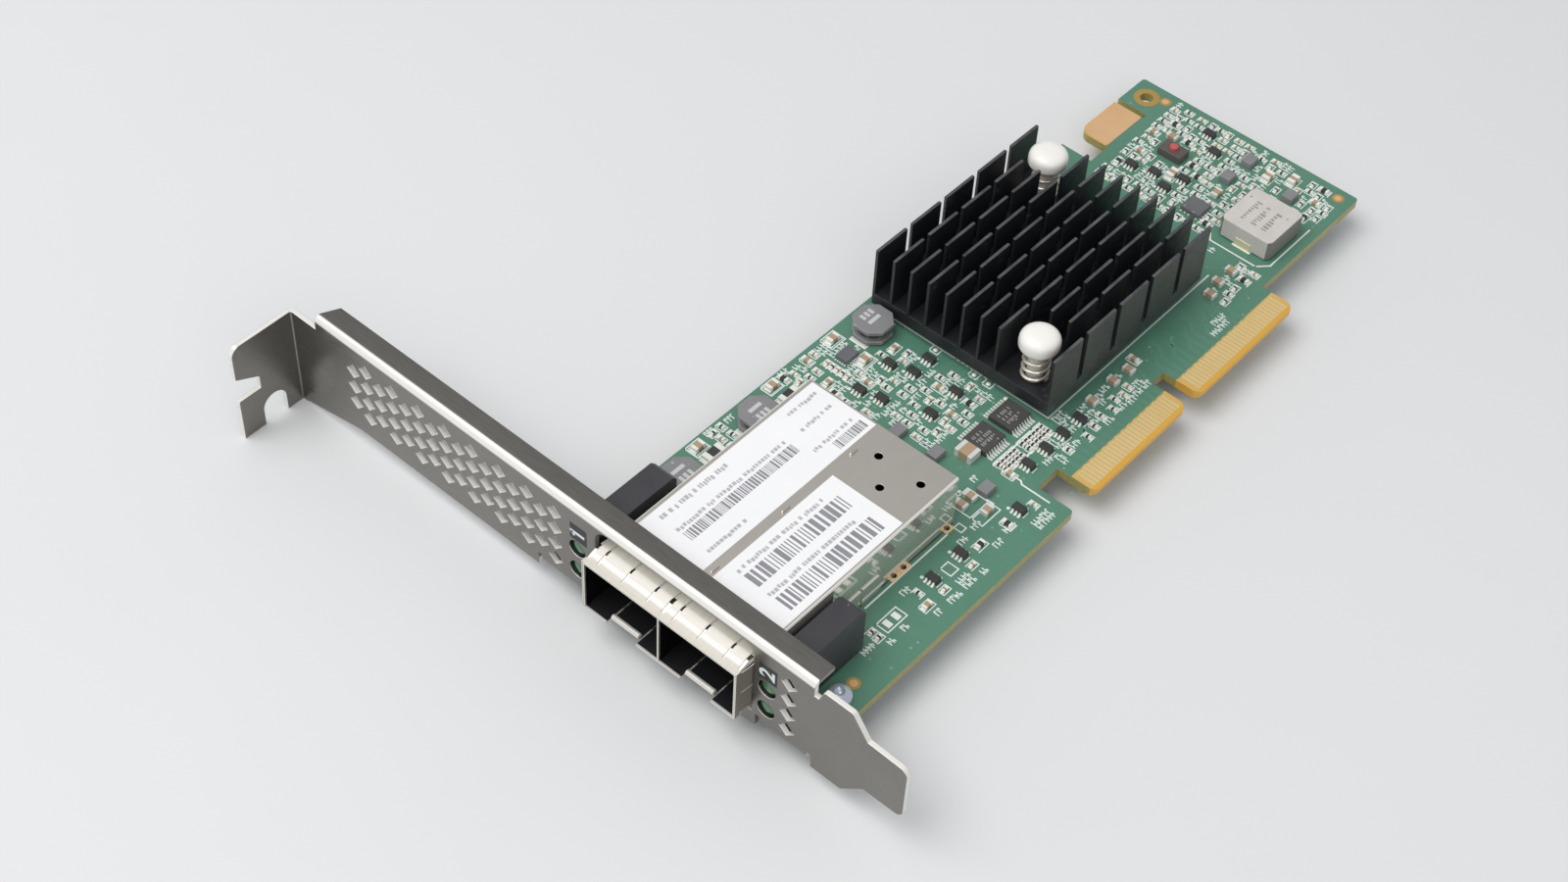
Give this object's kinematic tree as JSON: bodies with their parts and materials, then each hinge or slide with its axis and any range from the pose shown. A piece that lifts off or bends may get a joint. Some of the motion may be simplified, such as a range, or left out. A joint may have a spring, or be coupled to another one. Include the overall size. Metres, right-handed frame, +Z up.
{
  "type": "fibre channel host adapter card",
  "caption": "Plug-in host adapter card with a full-height slotted bracket, a double transceiver cage, a finned heat sink on sprung pins and a gold card edge.",
  "frame": {"origin": "centre of the footprint, at the height of the lowest edge, the lower edge of the screw tab", "axes": "+Z up from the component side of the board, +X from the screw tab to the bracket's tongue and the card edge, +Y from the bracket into the card"},
  "size_m": [0.12, 0.1582, 0.0215],
  "materials": {
    "board_green": "glossy green solder mask over glass laminate",
    "gold_plate": "gold plate",
    "copper": "bare copper under a clear coat",
    "bracket_steel": "nickel plated steel sheet",
    "screw_zinc": "blue passivated zinc",
    "cage_steel": "satin nickel silver sheet",
    "collar_nickel": "bright nickel spring sheet",
    "black_plastic": "moulded black plastic",
    "lens_green": "tinted clear plastic",
    "sink_black": "black anodised",
    "chip_black": "moulded epoxy",
    "pad_grey": "soft thermal pad",
    "pin_white": "moulded white nylon",
    "spring_steel": "plated spring wire",
    "coil_black": "pressed ferrite",
    "coil_grey": "pressed powder core",
    "tin": "tin plate and solder",
    "ceramic_tan": "fired ceramic",
    "button_red": "moulded red plastic",
    "paper_white": "printed label film"
  },
  "bodies": {
    "card": {"board": "board_green", "edge_contacts": "gold_plate", "leg_lands": "copper", "hook_plating": "copper", "bracket": "bracket_steel", "bracket_screws": "screw_zinc", "cage_shell": "cage_steel", "cage_floor": "cage_steel", "cage_divider": "cage_steel", "emi_collar": "collar_nickel", "port_socket_1": "black_plastic", "port_socket_2": "black_plastic", "port_contacts": "gold_plate", "led_housing_1": "black_plastic", "led_housing_2": "black_plastic", "led_lenses": "lens_green", "heat_sink": "sink_black", "controller_chip": "chip_black", "thermal_pad": "pad_grey", "pin_spring_1": "spring_steel", "pin_spring_2": "spring_steel", "coil_1": "coil_black", "coil_2": "coil_black", "coil_3": "coil_black", "coil_terminals": "tin", "power_coil": "coil_grey", "power_coil_terminals": "tin", "logic_chip_1": "chip_black", "logic_chip_2": "chip_black", "logic_leads": "tin", "sot_chips": "chip_black", "quad_chips": "chip_black", "chokes": "coil_black", "ceramic_caps": "ceramic_tan", "plated_ends": "tin", "reset_switch": "black_plastic", "switch_button": "button_red", "label_main": "paper_white", "label_ports": "paper_white"},
    "near_pin": {"push_pin_1": "pin_white"},
    "far_pin": {"push_pin_2": "pin_white"}
  },
  "joints": [
    {"name": "near_pin_press", "type": "slide", "parent": "card", "child": "near_pin", "axis": [0, 0, 1], "range_m": [-0.002, 0], "stiffness_N_per_m": 900, "springref_m": 0.002, "deforming": ["pin_spring_1"]},
    {"name": "far_pin_press", "type": "slide", "parent": "card", "child": "far_pin", "axis": [0, 0, 1], "range_m": [-0.002, 0], "stiffness_N_per_m": 900, "springref_m": 0.002, "deforming": ["pin_spring_2"]}
  ]
}
